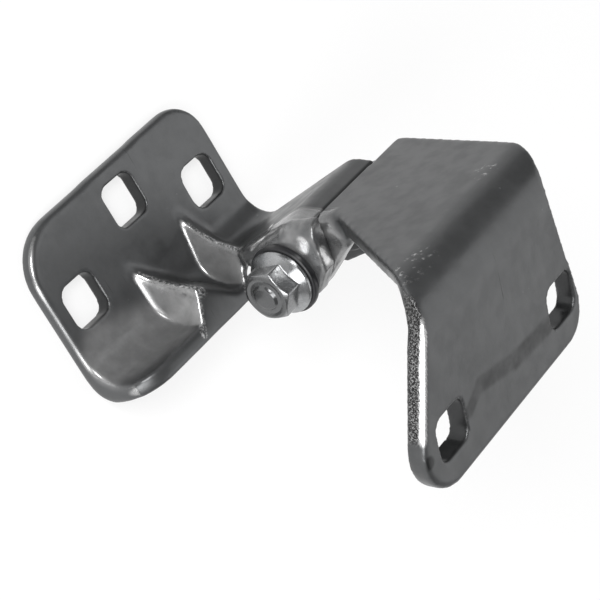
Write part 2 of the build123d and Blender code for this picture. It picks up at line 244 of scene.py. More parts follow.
# Greys of the leaves' worn metal with the painted crest highlights, of their rubbed metal, of the painted rim
# highlights, of the painted light on ribs and bend, and of torn and cut steel, the cut grey also serving the
# painted highlights on the ribs' ends, neck and ear
WEAR_AND_HIGHLIGHT_GREY = 0.62
RUBBED_GREY = 0.36
RIM_HIGHLIGHT_GREY = 0.42
PAINTED_LIGHT_GREYS = (0.19, 0.27)
TORN_GREYS = (0.012, 0.36)
CUT_AND_HIGHLIGHT_GREY = 0.95

# The turned pieces, in millimetres: the angles about the pivot, the hexagons' width across flats, their
# rings and their turns in degrees
TURNS = np.linspace(0, 2 * np.pi, 192, endpoint=False)
HEX_ACROSS = 15.0
HEX_ROWS = 56
NUT_ROWS = 48
BOLT_TURN = -7.0
NUT_TURN = 8.0
# The cone that cuts a hexagon's end: its radii and length, and its start behind the bolt's boss
CHAMFER_RADII = (7.15, 8.9)
CHAMFER_LENGTH = 1.2
CHAMFER_START = 0.95
# The flanges: rim's thickness and rounding, the cone's length and smaller radius, and the corners' softness
FLANGE_RIM = 1.6
FLANGE_ROUND = 0.3
FLANGE_CONE = 2.0
CONE_RADIUS = 7.2
SOFT = 0.18
# The gap between a hexagon's last ring and its flange's rim
ROW_GAP = 0.05
# The bolt: its face from the middle outwards as radius, depth behind the boss's top and rounding,
# the depths over which its painted shade fades, the gap to the near bush, and its hexagon's first ring
BOLT_FACE = (
    (0.02, 0, 0), (3.6, 0.12, 1.2), (4.35, 1.0, 0.25), (5.6, 1.05, 0.6), (6.6, 0.75, 0.4), (7.05, 0.95, 0),
)
FACE_SHADE_DEPTH = (0.9, 1.6)
SEAT_GAP = 0.05
BODY_START = 1.0
# The shank's radius, its plain end and the longest run of its profile, and the thread: where it starts and
# is full, its distance from the bolt's end, its pitch, the rings to a pitch, and its depth
SHANK_RADIUS = 5.0
SHANK_END = 46.0
SHANK_STEP = 2.0
THREAD_START = (46.2, 48.0)
THREAD_END = 1.0
THREAD_PITCH = 1.5
THREAD_STEPS = 10
THREAD_DEPTH = 0.42
# The bolt's tip from its edge to the middle, as radius, place from its end and rounding
BOLT_TIP = ((4.6, -0.9, 0), (4.0, 0, 0.2), (0.02, 0, 0))
# The nut: the hexagon's end over its seat, the bore of every ring, and the collar's step inside the flats
HEX_END = 9.0
BORE = 5.05
COLLAR_STEP = 0.9
# The bushes' barrel radius and collar thickness, the outer radius and rounding of the washer and the
# spacer, and the longest run of a ring's profile
BARREL = 6.0
COLLAR_THICKNESS = 2.3
WASHER_EDGE = (11.0, 0.35)
SPACER_EDGE = (7.25, 0.3)
RING_STEP = 1.5

# The viewpoint: where the camera stands, which way it looks, which way is up, its lens and its range
CAMERA_PLACE = Vector((-0.1540, -0.3957, 0.4929))
CAMERA_LOOK = Vector((0.2996, 0.6376, -0.7097))
CAMERA_UP = Vector((-0.8203, 0.5520, 0.1496))
CAMERA_LENS = 124.1
CAMERA_RANGE = (0.02, 50)

# The lamps: the side each stands on, its distance, width and height in metres and its power in watts
LAMPS = (
    ("lamp_key", (-0.50, -0.60, 0.62), 1.1, 0.40, 0.40, 8.5),
    ("lamp_front", (0.12, -0.84, 0.42), 1.0, 0.42, 0.80, 7.0),
    ("lamp_behind", (0.32, 0.64, 0.69), 1.3, 1.60, 1.60, 9.0),
)
WORLD_LEVEL = 0.28
FLOOR_REACH = 6.0
FLOOR_GAP = 0.2 * MM
FLOOR_GLOW = 0.75


class HingeSettings(bpy.types.PropertyGroup):
    """Sizes and colours of the hinge's finish."""

    coat_color: bpy.props.FloatVectorProperty(
        name="Coating", description="Colour of the dark coating on both leaves",
        default=(0.094, 0.096, 0.098), subtype="COLOR", min=0, max=1)
    coat_metal: bpy.props.FloatProperty(
        name="Coating sheen", description="How metallic the coating is",
        default=0.70, min=0, max=1, subtype="FACTOR")
    coat_roughness: bpy.props.FloatProperty(
        name="Coating roughness", description="How matt the coating is",
        default=0.34, min=0, max=1, subtype="FACTOR")
    zinc_color: bpy.props.FloatVectorProperty(
        name="Zinc", description="Colour of the plated bolt, washer and nut",
        default=(0.33, 0.335, 0.34), subtype="COLOR", min=0, max=1)
    bush_color: bpy.props.FloatVectorProperty(
        name="Bush", description="Colour of the dark flanged bushes",
        default=(0.008, 0.008, 0.009), subtype="COLOR", min=0, max=1)
    skin_step: bpy.props.FloatProperty(
        name="Skin step", description="Size of the faces that finish the leaves",
        default=0.55 * MM, min=0.3 * MM, max=2 * MM, subtype="DISTANCE")
    edge_passes: bpy.props.IntProperty(
        name="Edge rounding", description="Number of passes that round the leaves' edges",
        default=7, min=0, max=40)
    floor_color: bpy.props.FloatVectorProperty(
        name="Floor", description="Colour of the floor under the hinge",
        default=(0.97, 0.97, 0.97), subtype="COLOR", min=0, max=1)


def settings():
    """The settings kept with the scene."""
    return bpy.context.scene.hinge_settings


def unit(x, y, z):
    """Unit vector along the given direction."""
    v = np.array((x, y, z), float)
    return v / np.linalg.norm(v)


PANEL_UP = unit(math.sin(math.radians(PANEL_LEAN)), 0, math.cos(math.radians(PANEL_LEAN)))
FLANGE_FACE = unit(math.sin(math.radians(FLANGE_DROP)), 0, math.cos(math.radians(FLANGE_DROP)))
FLANGE_ALONG = unit(math.cos(math.radians(FLANGE_DROP)), 0, -math.sin(math.radians(FLANGE_DROP)))


def from_pivot(points, direction):
    """Distance of each point from the pivot along a direction."""
    return (points - np.array(PIVOT)) @ direction


# Mesh helpers

def read_vectors(items, key):
    """Vectors kept with a mesh's vertices, as an array."""
    values = np.zeros(len(items) * 3, np.float32)
    items.foreach_get(key, values)
    return values.reshape(-1, 3).astype(float)


def read_surface(mesh):
    """Places and normals of a mesh's vertices."""
    return read_vectors(mesh.vertices, "co"), read_vectors(mesh.vertex_normals, "vector")


def write_points(mesh, points):
    """Puts an array of places into a mesh."""
    mesh.vertices.foreach_set("co", points.astype(np.float32).ravel())
    mesh.update()


def write_attribute(mesh, name, values):
    """Stores one number for each vertex under a name that the materials read."""
    attribute = mesh.attributes.get(name) or mesh.attributes.new(name, "FLOAT", "POINT")
    attribute.data.foreach_set("value", values.astype(np.float32))


def link_piece(name, mesh, body, material):
    """Makes a piece from a finished mesh, with its material and body."""
    piece = bpy.data.objects.new(name, mesh)
    bpy.context.scene.collection.objects.link(piece)
    mesh.materials.clear()
    mesh.materials.append(material)
    mesh.polygons.foreach_set("use_smooth", np.ones(len(mesh.polygons), bool))
    mesh.update()
    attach(piece, body)
    return piece


def smoothstep(low, high, values):
    """Rises from 0 at low to 1 at high, with level ends."""
    t = np.clip((values - low) / (high - low), 0, 1)
    return t * t * (3 - 2 * t)


def refined_copy(node, step, passes):
    """Even, finely divided copy of a solid's surface, with its edges rounded by smoothing.

    The surface is found again on a grid of the given step. Each pass then moves every vertex
    half way to the mean of its neighbours, which rounds edges and leaves flat faces alone.
    """
    source = frame["nodes"][node]
    copy = bpy.data.objects.new("refining", source.data.copy())
    bpy.context.scene.collection.objects.link(copy)
    weld = copy.modifiers.new("weld", "WELD")
    weld.merge_threshold = MERGE_GAP
    remesh = copy.modifiers.new("grid", "REMESH")
    remesh.mode = "VOXEL"
    remesh.voxel_size = step
    remesh.use_smooth_shade = True
    rounding = copy.modifiers.new("rounding", "SMOOTH")
    rounding.factor = 0.5
    rounding.iterations = passes
    graph = bpy.context.evaluated_depsgraph_get()
    mesh = bpy.data.meshes.new_from_object(copy.evaluated_get(graph))
    bpy.data.objects.remove(copy)
    if len(mesh.vertices) < LEAST_VERTICES:
        raise RuntimeError(f"the surface of {node} could not be refined")
    return mesh


def near_line(points, start, end, reach):
    """1 within half the reach of a straight line between two points, falling to 0 at the full reach."""
    start, end = np.array(start) * MM, np.array(end) * MM
    line = end - start
    share = np.clip((points - start) @ line / (line @ line), 0, 1)
    gap = np.linalg.norm(points - start - share[:, None] * line, axis=1)
    return 1 - smoothstep(0.5 * reach * MM, reach * MM, gap)


def near_lines(points, lines):
    """1 along any of the given lines, falling to 0 at their reaches."""
    return np.max([near_line(points, *line) for line in lines], axis=0)


def edge_ends(mesh):
    """The two vertices of every edge, as two arrays."""
    ends = np.zeros(len(mesh.edges) * 2, np.int32)
    mesh.edges.foreach_get("vertices", ends)
    return ends.reshape(-1, 2).T


def neighbour_mean(a, b, values):
    """Mean of each column of values over the neighbours that the edges from a to b give a vertex."""
    count = len(values)
    degree = np.maximum(np.bincount(a, minlength=count) + np.bincount(b, minlength=count), 1)
    return np.stack([
        np.bincount(a, column[b], count) + np.bincount(b, column[a], count) for column in values.T
    ], axis=1) / degree[:, None]


def soften(mesh, points, weight, passes):
    """Moves each vertex towards the mean of its neighbours, by half its weight, once a pass."""
    a, b = edge_ends(mesh)
    chosen = (weight[a] > 0) | (weight[b] > 0)
    a, b = a[chosen], b[chosen]
    for _ in range(passes):
        points = points + 0.5 * weight[:, None] * (neighbour_mean(a, b, points) - points)
    return points


def spread(mesh, weight, passes):
    """Carries the largest weight to each vertex's neighbours, one edge a pass."""
    a, b = edge_ends(mesh)
    for _ in range(passes):
        wider = weight.copy()
        np.maximum.at(wider, a, weight[b])
        np.maximum.at(wider, b, weight[a])
        weight = wider
    return weight


def curvature(mesh, points, normals):
    """How convex the surface is at each vertex: the height above the mean of its neighbours.

    Two passes then even it out, each with 0.6 of the neighbours' mean and 0.4 of the vertex's own.
    """
    a, b = edge_ends(mesh)
    height = np.einsum("ij,ij->i", points - neighbour_mean(a, b, points), normals)
    for _ in range(2):
        height = 0.4 * height + 0.6 * neighbour_mean(a, b, height[:, None])[:, 0]
    return height


def even_edges(mesh, points, normals, keep):
    """Evens out the steps that the grid leaves along slanting edges, where keep is above 0.

    The weight is 1 at the vertices that stand out or lie in, and is carried a few edges further.
    """
    sharp = smoothstep(*EDGE_HEIGHTS, np.abs(curvature(mesh, points, normals)))
    return soften(mesh, points, spread(mesh, sharp, EDGE_WIDENING) * keep, EDGE_PASSES)


def hash_noise(points, size, seed):
    """Smooth random field between -1 and 1 on a lattice of the given size.

    Each lattice corner gets a number from a sine hash, and a point takes the blend of the
    eight corners about it, weighted by smooth curves of its place in the cell.
    """
    p = points / size + seed * SEED_STEP
    base = np.floor(p)
    f = p - base
    f = f * f * (3 - 2 * f)
    total = np.zeros(len(points))
    for corner in np.ndindex(2, 2, 2):
        value = np.sin((base + corner) @ np.array(HASH_TURN) + seed) * HASH_SCALE
        value = (value - np.floor(value)) * 2 - 1
        weight = np.prod(np.where(np.array(corner) == 1, f, 1 - f), axis=1)
        total += weight * value
    return total


# Materials

class Recipe:
    """Short way to build a node material."""

    def __init__(self, name):
        self.material = bpy.data.materials.new(name)
        self.material.use_nodes = True
        self.tree = self.material.node_tree
        self.tree.nodes.clear()
        self.out = self.tree.nodes.new("ShaderNodeOutputMaterial")
        self.shader = self.tree.nodes.new("ShaderNodeBsdfPrincipled")
        self.tree.links.new(self.shader.outputs[0], self.out.inputs["Surface"])
        self.place = self.tree.nodes.new("ShaderNodeTexCoord").outputs["Object"]

    def link(self, source, target):
        """Joins an output to an input."""
        self.tree.links.new(source, target)

    def put(self, target, value):
        """Joins an output, or sets a plain value, on an input."""
        if isinstance(value, bpy.types.NodeSocket):
            self.link(value, target)
        else:
            target.default_value = value

    def stretch(self, scale, turn=(0, 0, 0)):
        """Object coordinates, turned and then scaled."""
        node = self.tree.nodes.new("ShaderNodeMapping")
        node.vector_type = "POINT"
        node.inputs["Scale"].default_value = scale
        node.inputs["Rotation"].default_value = turn
        self.link(self.place, node.inputs["Vector"])
        return node.outputs[0]

    def noise(self, scale, detail, rough=0.5, vector=None):
        """Cloudy pattern."""
        node = self.tree.nodes.new("ShaderNodeTexNoise")
        node.inputs["Scale"].default_value = scale
        node.inputs["Detail"].default_value = detail
        node.inputs["Roughness"].default_value = rough
        self.link(vector or self.place, node.inputs["Vector"])
        return node.outputs["Fac"]

    def cells(self, scale):
        """Distance to the nearest of scattered points."""
        node = self.tree.nodes.new("ShaderNodeTexVoronoi")
        node.feature = "F1"
        node.inputs["Scale"].default_value = scale
        self.link(self.place, node.inputs["Vector"])
        return node.outputs["Distance"]

    def pair(self, operation, a, b):
        """Arithmetic on two numbers."""
        node = self.tree.nodes.new("ShaderNodeMath")
        node.operation = operation
        self.put(node.inputs[0], a)
        self.put(node.inputs[1], b)
        return node.outputs[0]

    def times(self, a, b):
        """Product of two numbers."""
        return self.pair("MULTIPLY", a, b)

    def larger(self, a, b):
        """The larger of two numbers."""
        return self.pair("MAXIMUM", a, b)

    def span(self, value, low, high, to_low=0.0, to_high=1.0):
        """Carries one range of numbers to another, smoothly and clamped."""
        node = self.tree.nodes.new("ShaderNodeMapRange")
        node.interpolation_type = "SMOOTHSTEP"
        self.put(node.inputs["Value"], value)
        node.inputs["From Min"].default_value = low
        node.inputs["From Max"].default_value = high
        node.inputs["To Min"].default_value = to_low
        node.inputs["To Max"].default_value = to_high
        return node.outputs["Result"]

    def blend(self, share, a, b):
        """Colour that goes from a to b as share goes from 0 to 1."""
        node = self.tree.nodes.new("ShaderNodeMix")
        node.data_type = "RGBA"
        self.put(node.inputs["Factor"], share)
        self.put(node.inputs[6], a if isinstance(a, bpy.types.NodeSocket) else (*a, 1))
        self.put(node.inputs[7], b if isinstance(b, bpy.types.NodeSocket) else (*b, 1))
        return node.outputs[2]

    def mix(self, share, a, b):
        """Number that goes from a to b as share goes from 0 to 1."""
        node = self.tree.nodes.new("ShaderNodeMix")
        node.data_type = "FLOAT"
        self.put(node.inputs["Factor"], share)
        self.put(node.inputs[2], a)
        self.put(node.inputs[3], b)
        return node.outputs[0]

    def attribute(self, name):
        """Number stored on the mesh under a name."""
        node = self.tree.nodes.new("ShaderNodeAttribute")
        node.attribute_name = name
        return node.outputs["Fac"]

    def relief(self, height, distance, strength, under=None):
        """Raises the surface by a height pattern, on top of an earlier relief."""
        node = self.tree.nodes.new("ShaderNodeBump")
        node.inputs["Strength"].default_value = strength
        node.inputs["Distance"].default_value = distance
        self.link(height, node.inputs["Height"])
        if under is not None:
            self.link(under, node.inputs["Normal"])
        return node.outputs["Normal"]

    def set(self, **values):
        """Sets or joins the shader's inputs, named with underscores for blanks."""
        for name, value in values.items():
            self.put(self.shader.inputs[name.replace("_", " ")], value)


def shade(color, factor):
    """A colour made lighter or darker."""
    return tuple(min(1.0, c * factor) for c in color)


def grey(level):
    """Plain grey of the given level."""
    return (level, level, level)


def coated_steel(name, tint):
    """Dark satin coating on pressed steel, with a grainy sheared edge, fine wear, and painted highlights,
    light and shade.
    """
    r = Recipe(name)
    base = shade(tuple(settings().coat_color), tint)
    cloud = r.span(r.noise(scale=45, detail=4, rough=0.55), 0.32, 0.68)
    grain = r.span(r.noise(scale=420, detail=4, rough=0.6), 0.30, 0.70)
    color = r.blend(cloud, shade(base, 0.93), shade(base, 1.07))
    color = r.blend(r.times(grain, 0.20), color, shade(base, 1.30))
    # Fine scratches along the flange, broken up by a cloud
    streaks = r.noise(scale=1.0, detail=2, vector=r.stretch((60, 1500, 60), (0, 0, 0.5)))
    breaks = r.span(r.noise(scale=70, detail=2), 0.55, 0.65)
    scratch = r.times(r.span(streaks, 0.70, 0.76), breaks)
    color = r.blend(scratch, color, shade(base, 0.45))
    # Dust nibs in the coating
    dots = r.span(r.cells(scale=190), 0.05, 0.09, 1.0, 0.0)
    nibs = r.times(dots, r.span(r.noise(scale=55, detail=2), 0.56, 0.64))
    color = r.blend(r.times(nibs, 0.5), color, shade(base, 3.0))
    # Worn places, and painted highlights along the ribs' crests
    wear_and_highlight = r.times(r.attribute("wear_and_highlight"), r.span(r.noise(scale=1100, detail=4, rough=0.7), 0.46, 0.60))
    color = r.blend(wear_and_highlight, color, grey(WEAR_AND_HIGHLIGHT_GREY))
    # Dark marks and painted shade: the flange's pit and darker stripe, and painted shade on the holes' walls
    # and the neck
    color = r.blend(r.attribute("marks_and_shade"), color, shade(base, 0.28))
    # Rubbed ears: brighter and smoother metal, uneven
    polish = r.attribute("polish")
    uneven = r.span(r.noise(scale=95, detail=3), 0.34, 0.66, 0.10, 0.80)
    color = r.blend(r.times(polish, uneven), color, grey(RUBBED_GREY))
    # Painted highlights on the rims and the ribs' feet, and cloudy painted light on the ribs' near faces and
    # the wall's bend
    rim = r.times(r.attribute("rim"), 0.8)
    color = r.blend(rim, color, grey(RIM_HIGHLIGHT_GREY))
    painted_light = r.attribute("painted_light")
    light_cloud = r.span(r.noise(scale=160, detail=4, rough=0.6), 0.3, 0.7)
    color = r.blend(painted_light, color, r.blend(light_cloud, *map(grey, PAINTED_LIGHT_GREYS)))
    # Sheared edge: bright grains where the metal tore, and a bright band where it was cut. The same bright
    # grey paints the highlights at the ribs' ends, on the neck and on the near ear
    torn = r.attribute("torn")
    crystals = r.span(r.noise(scale=2200, detail=4, rough=0.7), 0.47, 0.63)
    color = r.blend(torn, color, r.blend(crystals, *map(grey, TORN_GREYS)))
    cut_band_and_highlight = r.attribute("cut_band_and_highlight")
    color = r.blend(cut_band_and_highlight, color, grey(CUT_AND_HIGHLIGHT_GREY))
    # Bare metal shines more than the coating, and the painted light less
    bare = r.larger(r.times(torn, crystals), r.larger(wear_and_highlight, cut_band_and_highlight))
    metal = r.mix(bare, r.mix(painted_light, settings().coat_metal, 0.10), 0.9)
    matt = settings().coat_roughness
    rough = r.span(r.noise(scale=180, detail=3), 0.3, 0.7, matt - 0.05, matt + 0.07)
    smooth = r.larger(r.times(polish, 0.8), r.times(rim, 0.9))
    rough = r.mix(smooth, r.mix(bare, rough, 0.30), 0.22)
    # Reliefs from the coarsest to the finest: pressed dents, flow of the coating, its grain, nibs and tear
    dents = r.relief(r.times(r.noise(scale=110, detail=2), polish), distance=1.1 * MM, strength=0.8)
    flow = r.relief(r.noise(scale=260, detail=3), distance=0.05 * MM, strength=0.22, under=dents)
    sand = r.noise(scale=1900, detail=3, rough=0.6)
    fine = r.relief(sand, distance=0.02 * MM, strength=0.5, under=flow)
    pits = r.relief(nibs, distance=0.08 * MM, strength=0.6, under=fine)
    grit = r.times(r.noise(scale=2300, detail=4, rough=0.7), torn)
    tear = r.relief(grit, distance=0.3 * MM, strength=0.8, under=pits)
    r.set(Base_Color=color, Metallic=metal, Roughness=rough, Normal=tear)
    r.shader.inputs["Specular IOR Level"].default_value = 0.5
    return r.material


def zinc(name, tint):
    """Bright zinc plate over forged steel, a little cloudy, with dark specks and a painted shade on the
    bolt's face.
    """
    r = Recipe(name)
    base = shade(tuple(settings().zinc_color), tint)
    cloud = r.span(r.noise(scale=160, detail=4, rough=0.6), 0.3, 0.7)
    color = r.blend(cloud, shade(base, 0.72), shade(base, 1.12))
    dots = r.span(r.cells(scale=900), 0.10, 0.22, 1.0, 0.0)
    specks = r.times(dots, r.span(r.noise(scale=300, detail=2), 0.52, 0.62))
    color = r.blend(r.times(specks, 0.6), color, shade(base, 0.35))
    rough = r.span(r.noise(scale=240, detail=4), 0.3, 0.7, 0.16, 0.30)
    # Painted shade on the bolt's pressed face, darker than the turned and rolled sides
    color = r.blend(r.attribute("painted_face_shade"), color, shade(base, 0.40))
    flow = r.relief(r.noise(scale=420, detail=3, rough=0.55), distance=0.06 * MM, strength=0.35)
    sand = r.noise(scale=2600, detail=3, rough=0.6)
    fine = r.relief(sand, distance=0.02 * MM, strength=0.4, under=flow)
    r.set(Base_Color=color, Metallic=0.92, Roughness=rough, Normal=fine)
    return r.material


def dark_bush(name):
    """Blackened steel of the flanged bushes, faintly cloudy."""
    r = Recipe(name)
    base = tuple(settings().bush_color)
    cloud = r.span(r.noise(scale=200, detail=3), 0.3, 0.7)
    color = r.blend(cloud, shade(base, 0.7), shade(base, 1.8))
    rough = r.span(r.noise(scale=320, detail=3), 0.3, 0.7, 0.34, 0.52)
    fine = r.relief(r.noise(scale=1800, detail=3, rough=0.6), distance=0.03 * MM, strength=0.4)
    r.set(Base_Color=color, Roughness=rough, Normal=fine)
    return r.material


def plain_steel(name):
    """Bare steel of the spacer tube, with lengthwise drawing lines."""
    r = Recipe(name)
    lines = r.noise(scale=1.0, detail=3, rough=0.6, vector=r.stretch((1800, 40, 1800)))
    color = r.blend(r.span(lines, 0.3, 0.7), (0.22, 0.22, 0.225), (0.40, 0.40, 0.41))
    rough = r.span(r.noise(scale=260, detail=3), 0.3, 0.7, 0.30, 0.45)
    fine = r.relief(lines, distance=0.02 * MM, strength=0.4)
    r.set(Base_Color=color, Metallic=0.9, Roughness=rough, Normal=fine)
    return r.material


# Leaves

def crest_highlight(points):
    """1 along the upper part of each rib's crest, where a highlight is painted, falling to 0 at its reach."""
    lit_crest = np.zeros(len(points))
    for tip, ridge, shoulder, reach in RIB_CRESTS:
        tip, ridge = np.array(tip), np.array(ridge)
        line = [tip + (ridge - tip) * (k, k, k ** RIB_BOW) for k in CREST_STEPS]
        line.append(shoulder)
        for start, end, share in zip(line[:-1], line[1:], CREST_REACHES):
            lit_crest = np.maximum(lit_crest, near_line(points, start, end, share * reach))
    return lit_crest


def facet_level(points):
    """Level of the rib's box that each point lies in, and 0 outside both boxes."""
    levels = np.zeros(len(points))
    for low, high, level in FACET_BOXES:
        inside = np.all((points > np.array(low) * MM) & (points < np.array(high) * MM), axis=1)
        levels = np.maximum(levels, level * inside)
    return levels


def lit_rib_facets(points, normals):
    """How far each point belongs to the near face of a rib, where light is painted."""
    return facet_level(points) * smoothstep(*FACET_FACING, normals @ unit(*FACET_NORMAL))


def rim_highlight(points, normals, rolled):
    """1 on the parts of the rolled rims and of the ribs' feet where a highlight is painted."""
    facing = np.max([smoothstep(*RIM_FACING, normals @ unit(*side)) for side in RIM_HIGHLIGHT_SIDES], axis=0)
    ends = np.maximum(1 - smoothstep(*RIM_OUTER, points[:, 0]), smoothstep(*RIM_INNER, points[:, 0]))
    highlight_share = RIM_LEAST + (1 - RIM_LEAST) * ends
    return facing * np.maximum(rolled * highlight_share, facet_level(points) > 0)


def hole_gap(along, across, holes):
    """Distance of each point from the axis of the nearest of a sheet's holes."""
    return np.min([np.hypot(along - place, across - centre) for place, centre in holes], axis=0)


def hole_wall_shade(gap, facing):
    """1 on the walls of the holes, where shade is painted, from the gap to an axis and the normal's part
    square to the sheet.
    """
    wall_shade = 1 - smoothstep(HOLE_REACH - HOLE_FADE, HOLE_REACH, gap)
    return wall_shade * (1 - smoothstep(*WALL_FACING, np.abs(facing)))


def clear_of_holes(gap):
    """0 at the holes, rising to 1 beside them."""
    return smoothstep(HOLE_REACH, HOLE_REACH + HOLE_FADE, gap)


def rubbed_ear(points):
    """1 on the near ears, where they are rubbed bright, and 0 away from them."""
    gap = np.hypot(points[:, 0] - PIVOT.x, points[:, 2] - PIVOT.z)
    near = 1 - smoothstep(*POLISH_FAR, points[:, 1])
    return near * (1 - smoothstep(*POLISH_REACH, gap)) * smoothstep(*POLISH_NEAR, points[:, 1])


def worn_edges(mesh, points, normals, seed):
    """Light wear along the rounded edges, in patches."""
    convex = smoothstep(*WORN_HEIGHTS, curvature(mesh, points, normals))
    patch = smoothstep(*PATCH_RANGE, hash_noise(points, PATCH_SIZE, seed))
    return EDGE_WEAR * convex * patch


def plate_rims(points, normals):
    """True on the wall's near side and on the plate's outer side faces, away from its three holes."""
    near_side = np.abs(points[:, 1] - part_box("pillar_leaf")[0].y) < RIM_DEPTH
    side_face = (np.abs(normals[:, 2]) < SIDE_TILT) & (points[:, 2] < PILLAR_GAUGE)
    clear = hole_gap(points[:, 0], points[:, 1], PLATE_HOLES) > HOLE_REACH
    return near_side | (side_face & clear & (points[:, 0] < PLATE_SIDE))


def close_crown(points):
    """Draws the crown's end up to the door panel's foot, so that a thin seam is left between them."""
    share = smoothstep(*CROWN_SPAN, points[:, 2])
    inside = (points[:, 1] > CROWN_NEAR) & (points[:, 1] < CROWN_FAR) & (points[:, 0] < CROWN_DEPTH)
    ends = smoothstep(CROWN_NEAR, CROWN_NEAR + CROWN_FADE, points[:, 1])
    lift = CROWN_LIFT * share * ends * inside
    return points + lift[:, None] * unit(math.tan(math.radians(CROWN_LEAN)), 0, 1)


def finish_pillar(mesh):
    """Rolls the rims, draws up the crown, rounds the pressed ribs and marks where the coating is worn and
    where highlights, light and shade are painted.
    """
    points, normals = read_surface(mesh)
    rims = plate_rims(points, normals).astype(float)
    rolled = smoothstep(0, 1, spread(mesh, rims, ROLL_REACH))
    points = soften(mesh, points, rolled * (points[:, 2] < RIM_TOP), ROLL_PASSES)
    below_crown = 1 - smoothstep(*CROWN_START, points[:, 2])
    clear = clear_of_holes(hole_gap(points[:, 0], points[:, 1], PLATE_HOLES))
    points = close_crown(even_edges(mesh, points, normals, below_crown * clear))
    write_points(mesh, soften(mesh, points, near_lines(points, RIB_LINES), RIB_PASSES))
    points, normals = read_surface(mesh)
    ear = rubbed_ear(points)
    wall_shade = hole_wall_shade(hole_gap(points[:, 0], points[:, 1], PLATE_HOLES), normals[:, 2])
    # Painted shade on the upper neck
    neck_shade = smoothstep(*NECK_START, points[:, 2]) * (1 - ear)
    # Painted highlights on the near ear
    ear_highlights = EAR_HIGHLIGHT_LEVEL * near_lines(points, EAR_HIGHLIGHTS)
    # Painted light on the near part of the wall's bend
    bend = near_lines(points, LIT_BEND) * smoothstep(*BEND_FACING, normals @ unit(*BEND_NORMAL))
    # Edge wear, and painted highlights along the ribs' crests
    write_attribute(mesh, "wear_and_highlight", np.maximum(worn_edges(mesh, points, normals, seed=3), crest_highlight(points)))
    write_attribute(mesh, "torn", np.zeros(len(points)))
    # Painted highlights at the ribs' ends, on the neck and on the near ear
    write_attribute(mesh, "cut_band_and_highlight", np.maximum(near_lines(points, RIB_END_HIGHLIGHTS + NECK_HIGHLIGHTS), ear_highlights))
    # Painted shade on the holes' walls and on the neck
    write_attribute(mesh, "marks_and_shade", np.maximum(PLATE_WALL_SHADE * wall_shade, NECK_SHADE * neck_shade))
    write_attribute(mesh, "polish", ear)
    # Painted highlights on the rims and the ribs' feet
    write_attribute(mesh, "rim", rim_highlight(points, normals, rolled))
    # Painted light on the ribs' near faces and the wall's bend
    write_attribute(mesh, "painted_light", np.maximum(lit_rib_facets(points, normals), BEND_LEVEL * bend))


def round_foot(points):
    """Rounds the panel's lower far corner, drawing what lies outside an arc in to the arc."""
    foot, far, slant, radius = FOOT_CORNER
    up = from_pivot(points, PANEL_UP) - foot
    inward = far - slant * up - points[:, 1]
    from_up, from_side = radius - up, radius - inward
    gap = np.hypot(from_up, from_side)
    outside = (from_up > 0) & (from_side > 0) & (gap > radius)
    share = np.where(outside, radius / np.maximum(gap, 1e-9), 1)
    rise = from_up * (1 - share)
    shift = from_side * (1 - share) + slant * rise
    return points + rise[:, None] * PANEL_UP - shift[:, None] * np.array((0, 1, 0))


def sheared_side(points, normals, along):
    """How far each point belongs to the torn metal and to the cut band of the flange's near side.

    The side is found by its line and its facing. The depth below the flange's outer face, as a
    share of the gauge, tells the band from the tear, across a ragged line.
    """
    depth = (FLANGE_HEIGHT - from_pivot(points, FLANGE_FACE)) / DOOR_GAUGE
    across, start, slope = TORN_LINE
    in_bend = 1 - smoothstep(*TORN_BEND, along)
    off_line = np.abs(points[:, 1] - (across + (along - start) * slope))
    side = smoothstep(*TORN_FACING, -normals[:, 1])
    side = side * smoothstep(*TORN_START, along) * (1 - smoothstep(*TORN_END, along))
    side = side * (off_line < TORN_WIDTH + TORN_BEND_WIDTH * in_bend)
    ragged = depth + TEETH_DEPTH * hash_noise(points, TEETH_SIZE, TEETH_SEED)
    torn = smoothstep(*TEAR_START, ragged) * (1 - smoothstep(*TEAR_END, depth - TEAR_IN_BEND * in_bend))
    cut_band_and_highlight = smoothstep(*BAND_START, depth) * (1 - smoothstep(*BAND_END, ragged))
    return side * torn, side * cut_band_and_highlight


def flange_darkening(points):
    """Darker places on the flange: a cloudy darker stripe and a pit."""
    stripe = STRIPE_LEVEL + sum(share * hash_noise(points, size, seed) for share, size, seed in STRIPE_CLOUDS)
    return np.maximum(stripe * near_lines(points, FLANGE_STRIPE), near_lines(points, FLANGE_PITS))


